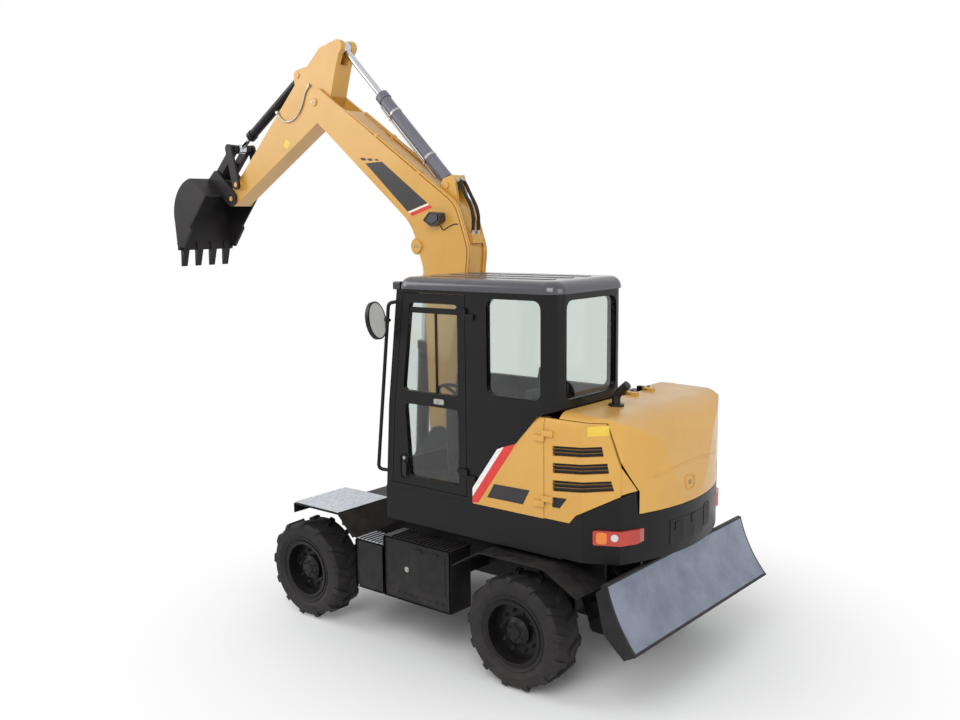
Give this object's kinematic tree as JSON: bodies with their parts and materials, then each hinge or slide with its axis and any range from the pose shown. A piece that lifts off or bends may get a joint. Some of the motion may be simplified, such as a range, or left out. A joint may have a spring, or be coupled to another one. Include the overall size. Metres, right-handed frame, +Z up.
{
  "type": "wheeled excavator",
  "caption": "Compact wheeled excavator with a cab on the left, one-piece boom, arm, digging bucket on a lever linkage and a dozer blade behind the rear axle.",
  "frame": {"origin": "on the ground under the slew axis", "axes": "+X forward towards the working gear, +Y to the left with the cab, +Z up"},
  "size_m": [6.0713, 2.015, 4.924],
  "materials": {
    "tyre": "matte black rubber",
    "hose": "matte black rubber hose",
    "rim": "semi-gloss black",
    "axle": "satin dark grey",
    "chassis": "satin black",
    "fender": "satin black",
    "blade": "satin steel grey",
    "yellow": "semi-gloss yellow",
    "black_paint": "satin black",
    "casting": "satin black",
    "engine": "cast",
    "glass": "clear",
    "roof": "matte pale grey",
    "fabric": "woven dark grey",
    "plastic": "matte black",
    "lamp_red": "glossy red and amber",
    "lamp": "glossy dark",
    "barrel_grey": "satin grey",
    "chrome": "polished",
    "exhaust": "heat dark steel"
  },
  "bodies": {
    "chassis": {"chassis_frame": "chassis", "front_axle": "axle", "rear_axle": "axle", "step_boxes": "chassis", "front_fenders": "fender", "rear_fenders": "fender", "tie_down_lugs": "chassis"},
    "knuckle_left": {"knuckle_left": "axle"},
    "knuckle_right": {"knuckle_right": "axle"},
    "tie_rod": {"tie_rod": "axle"},
    "wheel_front_left": {"wheel_front_left": "rim", "tyre_front_left": "tyre"},
    "wheel_front_right": {"wheel_front_right": "rim", "tyre_front_right": "tyre"},
    "wheel_rear_left": {"wheel_rear_left": "rim", "tyre_rear_left": "tyre"},
    "wheel_rear_right": {"wheel_rear_right": "rim", "tyre_rear_right": "tyre"},
    "blade_arms": {"blade_arms": "black_paint"},
    "blade_links": {"blade_links": "black_paint"},
    "blade": {"blade": "blade"},
    "blade_cylinder_barrel": {"blade_cylinder_barrel": "black_paint"},
    "blade_cylinder_rod": {"blade_cylinder_rod": "chrome"},
    "upper": {"deck_frame": "black_paint", "counterweight": "casting", "engine_block": "engine", "left_front_cover": "yellow", "right_cover": "yellow", "right_tail_panel": "yellow", "cab_shell": "black_paint", "cab_glass": "glass", "cab_roof": "roof", "seat": "fabric", "cab_controls": "plastic", "grab_rail_mirror": "black_paint", "tail_lamps": "lamp_red", "roof_lamps": "lamp"},
    "cab_door": {"cab_door": "black_paint", "door_glass": "glass"},
    "engine_door": {"engine_door": "yellow"},
    "rear_hood": {"rear_hood": "yellow", "exhaust_outlet": "exhaust"},
    "boom": {"boom": "yellow", "boom_lamp": "lamp", "boom_pipes": "yellow", "boom_hoses": "hose", "lamp_cable": "hose"},
    "boom_cylinder_barrel": {"boom_cylinder_barrel": "black_paint"},
    "boom_cylinder_rod": {"boom_cylinder_rod": "chrome"},
    "arm": {"arm": "yellow", "arm_pipe": "barrel_grey"},
    "arm_cylinder_barrel": {"arm_cylinder_barrel": "barrel_grey"},
    "arm_cylinder_rod": {"arm_cylinder_rod": "chrome"},
    "bucket_cylinder_barrel": {"bucket_cylinder_barrel": "black_paint"},
    "bucket_cylinder_rod": {"bucket_cylinder_rod": "chrome"},
    "rocker_levers": {"rocker_levers": "black_paint"},
    "bucket_link": {"bucket_link": "black_paint"},
    "bucket": {"bucket": "black_paint"}
  },
  "joints": [
    {"name": "steer_left", "type": "hinge", "parent": "chassis", "child": "knuckle_left", "pos_m": [1.55, 0.64, 0.415], "axis": [0, 0, 1], "range_deg": [-30, 30]},
    {"name": "steer_right", "type": "hinge", "parent": "chassis", "child": "knuckle_right", "pos_m": [1.55, -0.64, 0.415], "axis": [0, 0, 1], "range_deg": [-31, 31]},
    {"name": "tie_rod_slide", "type": "slide", "parent": "chassis", "child": "tie_rod", "axis": [0, 1, 0], "range_m": [-0.14, 0.14]},
    {"name": "wheel_front_left_spin", "type": "hinge", "parent": "knuckle_left", "child": "wheel_front_left", "pos_m": [1.55, 0.835, 0.415], "axis": [0, 1, 0], "continuous": true},
    {"name": "wheel_front_right_spin", "type": "hinge", "parent": "knuckle_right", "child": "wheel_front_right", "pos_m": [1.55, -0.835, 0.415], "axis": [0, 1, 0], "continuous": true},
    {"name": "wheel_rear_left_spin", "type": "hinge", "parent": "chassis", "child": "wheel_rear_left", "pos_m": [-0.62, 0.835, 0.415], "axis": [0, 1, 0], "continuous": true},
    {"name": "wheel_rear_right_spin", "type": "hinge", "parent": "chassis", "child": "wheel_rear_right", "pos_m": [-0.62, -0.835, 0.415], "axis": [0, 1, 0], "continuous": true},
    {"name": "slew", "type": "hinge", "parent": "chassis", "child": "upper", "pos_m": [0, 0, 0.925], "axis": [0, 0, 1], "continuous": true},
    {"name": "cab_door_hinge", "type": "hinge", "parent": "upper", "child": "cab_door", "pos_m": [-0.112, 0.833, 2], "axis": [0, 0, 1], "range_deg": [0, 160]},
    {"name": "engine_door_hinge", "type": "hinge", "parent": "upper", "child": "engine_door", "pos_m": [-0.7925, 0.835, 1.6], "axis": [0, 0, 1], "range_deg": [-100, 0]},
    {"name": "rear_hood_hinge", "type": "hinge", "parent": "upper", "child": "rear_hood", "pos_m": [-0.9, 0, 2.023], "axis": [0, 1, 0], "range_deg": [0, 60]},
    {"name": "boom_lift", "type": "hinge", "parent": "upper", "child": "boom", "pos_m": [0.98, -0.27, 1.42], "axis": [0, -1, 0], "range_deg": [-95, 13]},
    {"name": "boom_cylinder_swing", "type": "hinge", "parent": "upper", "child": "boom_cylinder_barrel", "pos_m": [1.33, -0.27, 1.065], "axis": [0, -1, 0], "range_deg": [-91.25, 13.35]},
    {"name": "boom_cylinder_stroke", "type": "slide", "parent": "boom_cylinder_barrel", "child": "boom_cylinder_rod", "axis": [-0.0568, 0, 0.9984], "range_m": [-0.7097, 0.1014]},
    {"name": "arm_swing", "type": "hinge", "parent": "boom", "child": "arm", "pos_m": [2.462, -0.27, 4.398], "axis": [0, 1, 0], "range_deg": [-50, 56]},
    {"name": "arm_cylinder_swing", "type": "hinge", "parent": "boom", "child": "arm_cylinder_barrel", "pos_m": [0.92, -0.27, 3.595], "axis": [0, 1, 0], "range_deg": [-5, 5.48]},
    {"name": "arm_cylinder_stroke", "type": "slide", "parent": "arm_cylinder_barrel", "child": "arm_cylinder_rod", "axis": [0.7051, 0, 0.7091], "range_m": [-0.4282, 0.479]},
    {"name": "bucket_curl", "type": "hinge", "parent": "arm", "child": "bucket", "pos_m": [3.763, -0.27, 3.554], "axis": [0, 1, 0], "range_deg": [-20, 150]},
    {"name": "rocker_swing", "type": "hinge", "parent": "arm", "child": "rocker_levers", "pos_m": [3.64, -0.27, 3.69], "axis": [0, 1, 0], "range_deg": [-15.4, 109]},
    {"name": "link_swing", "type": "hinge", "parent": "rocker_levers", "child": "bucket_link", "pos_m": [3.736, -0.27, 4.05], "axis": [0, 1, 0], "range_deg": [-28, 4.6]},
    {"name": "bucket_cylinder_swing", "type": "hinge", "parent": "arm", "child": "bucket_cylinder_barrel", "pos_m": [2.74494, -0.27, 4.66808], "axis": [0, 1, 0], "range_deg": [-2.4, 11.5]},
    {"name": "bucket_cylinder_stroke", "type": "slide", "parent": "bucket_cylinder_barrel", "child": "bucket_cylinder_rod", "axis": [0.8485, 0, -0.5292], "range_m": [-0.0835, 0.594]},
    {"name": "blade_lift", "type": "hinge", "parent": "chassis", "child": "blade_arms", "pos_m": [-0.88, 0, 0.33], "axis": [0, 1, 0], "range_deg": [-78, 0]},
    {"name": "blade_link_swing", "type": "hinge", "parent": "chassis", "child": "blade_links", "pos_m": [-0.88, 0, 0.5], "axis": [0, 1, 0], "range_deg": [-79, 1]},
    {"name": "blade_level", "type": "hinge", "parent": "blade_arms", "child": "blade", "pos_m": [-1.27834, 0, 0.66425], "axis": [0, 1, 0], "range_deg": [-1, 79]},
    {"name": "blade_cylinder_swing", "type": "hinge", "parent": "chassis", "child": "blade_cylinder_barrel", "pos_m": [-0.735, 0, 0.775], "axis": [0, 1, 0], "range_deg": [-11.14, 1]},
    {"name": "blade_cylinder_stroke", "type": "slide", "parent": "blade_cylinder_barrel", "child": "blade_cylinder_rod", "axis": [-0.6087, 0, -0.7934], "range_m": [-0.005, 0.1888]}
  ],
  "couplings": [
    {"joint": "steer_right", "follows": "steer_left", "ratio": 1},
    {"joint": "tie_rod_slide", "follows": "steer_left", "m_per_rad": -0.24},
    {"joint": "boom_cylinder_swing", "follows": "boom_lift", "ratio": 0.95},
    {"joint": "boom_cylinder_stroke", "follows": "boom_lift", "m_per_rad": 0.425},
    {"joint": "arm_cylinder_swing", "follows": "arm_swing", "ratio": 0.08},
    {"joint": "arm_cylinder_stroke", "follows": "arm_swing", "m_per_rad": 0.485},
    {"joint": "rocker_swing", "follows": "bucket_curl", "ratio": 0.72},
    {"joint": "link_swing", "follows": "bucket_curl", "ratio": -0.18},
    {"joint": "bucket_cylinder_swing", "follows": "bucket_curl", "ratio": 0.07},
    {"joint": "bucket_cylinder_stroke", "follows": "bucket_curl", "m_per_rad": 0.225},
    {"joint": "blade_link_swing", "follows": "blade_lift", "ratio": 1},
    {"joint": "blade_level", "follows": "blade_lift", "ratio": -1},
    {"joint": "blade_cylinder_swing", "follows": "blade_lift", "ratio": 0.13},
    {"joint": "blade_cylinder_stroke", "follows": "blade_lift", "m_per_rad": -0.135}
  ]
}
